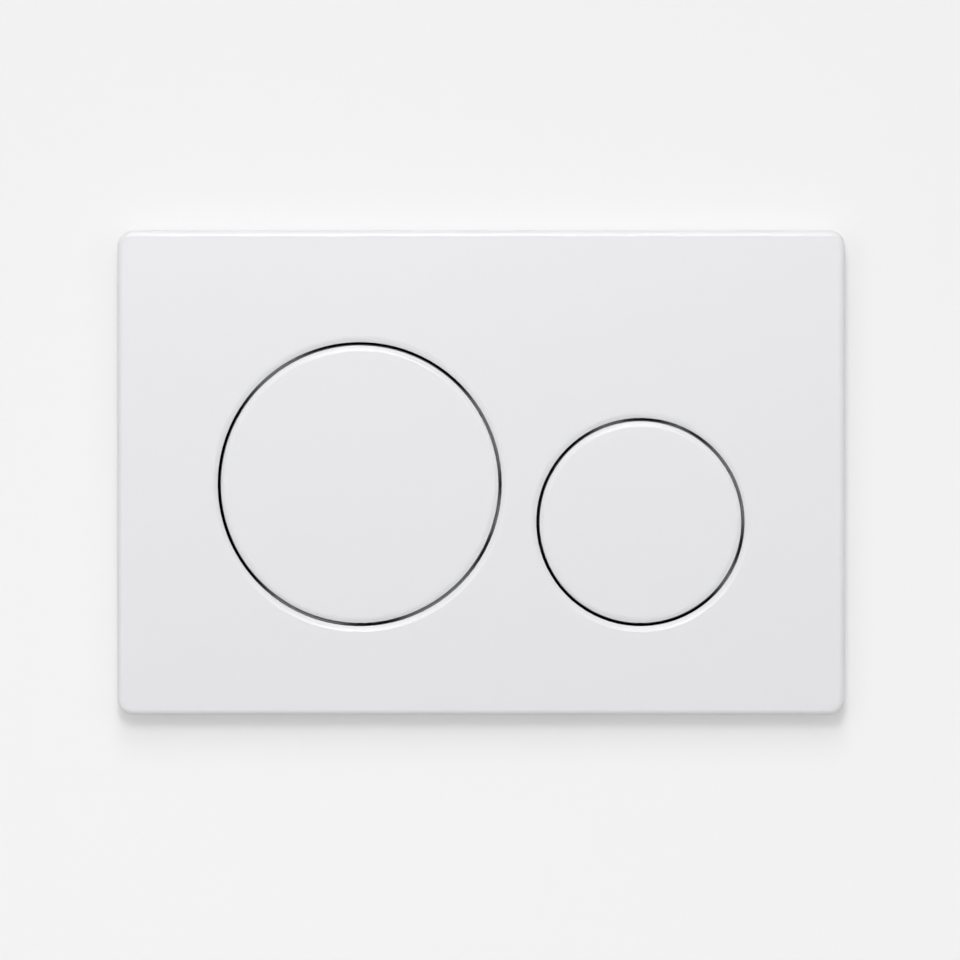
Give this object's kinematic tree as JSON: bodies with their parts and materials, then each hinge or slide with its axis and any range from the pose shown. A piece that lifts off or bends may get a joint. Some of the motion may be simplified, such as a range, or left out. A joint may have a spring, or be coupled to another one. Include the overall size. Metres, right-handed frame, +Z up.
{
  "type": "flush button plate",
  "caption": "Rectangular wall plate with a large and a small round push button in bright trim rings, which flushes a concealed cistern through push rods.",
  "frame": {"origin": "centre of the plate's outline, on the finished wall that the plate's rim meets", "axes": "+X to the right seen from the room, +Y into the wall along the buttons' travel, +Z up the wall"},
  "size_m": [0.246, 0.0671, 0.164],
  "materials": {
    "front_plate": "satin moulded white plastic",
    "button_carrier": "moulded light grey plastic",
    "carrier_screws": "zinc plated steel",
    "mounting_frame": "moulded slate blue plastic",
    "left_spacer_stud": "grey glass-filled plastic",
    "right_spacer_stud": "grey glass-filled plastic",
    "left_cap_nut": "blue moulded plastic",
    "right_cap_nut": "blue moulded plastic",
    "full_flush_trim_ring": "polished bright plating",
    "full_flush_button": "satin moulded white plastic",
    "full_flush_spring": "drawn stainless spring wire",
    "full_flush_stop_pads": "soft black rubber",
    "full_flush_push_rod": "natural white acetal",
    "full_flush_lock_nut": "blue moulded plastic",
    "full_flush_rod_foot": "blue moulded plastic",
    "half_flush_trim_ring": "polished bright plating",
    "half_flush_button": "satin moulded white plastic",
    "half_flush_spring": "drawn stainless spring wire",
    "half_flush_stop_pads": "soft black rubber",
    "half_flush_push_rod": "natural white acetal",
    "half_flush_lock_nut": "blue moulded plastic",
    "half_flush_rod_foot": "blue moulded plastic"
  },
  "bodies": {
    "wall_assembly": {"front_plate": "front_plate", "button_carrier": "button_carrier", "carrier_screws": "carrier_screws", "mounting_frame": "mounting_frame", "left_spacer_stud": "left_spacer_stud", "right_spacer_stud": "right_spacer_stud", "left_cap_nut": "left_cap_nut", "right_cap_nut": "right_cap_nut", "full_flush_trim_ring": "full_flush_trim_ring", "full_flush_spring": "full_flush_spring", "full_flush_stop_pads": "full_flush_stop_pads", "half_flush_trim_ring": "half_flush_trim_ring", "half_flush_spring": "half_flush_spring", "half_flush_stop_pads": "half_flush_stop_pads"},
    "full_flush_plunger": {"full_flush_button": "full_flush_button", "full_flush_push_rod": "full_flush_push_rod", "full_flush_lock_nut": "full_flush_lock_nut", "full_flush_rod_foot": "full_flush_rod_foot"},
    "half_flush_plunger": {"half_flush_button": "half_flush_button", "half_flush_push_rod": "half_flush_push_rod", "half_flush_lock_nut": "half_flush_lock_nut", "half_flush_rod_foot": "half_flush_rod_foot"}
  },
  "joints": [
    {"name": "full_flush_press", "type": "slide", "parent": "wall_assembly", "child": "full_flush_plunger", "axis": [0, 1, 0], "range_m": [0, 0.005], "stiffness_N_per_m": 600, "springref_m": -0.005, "deforming": ["full_flush_spring"]},
    {"name": "half_flush_press", "type": "slide", "parent": "wall_assembly", "child": "half_flush_plunger", "axis": [0, 1, 0], "range_m": [0, 0.005], "stiffness_N_per_m": 600, "springref_m": -0.005, "deforming": ["half_flush_spring"]}
  ]
}
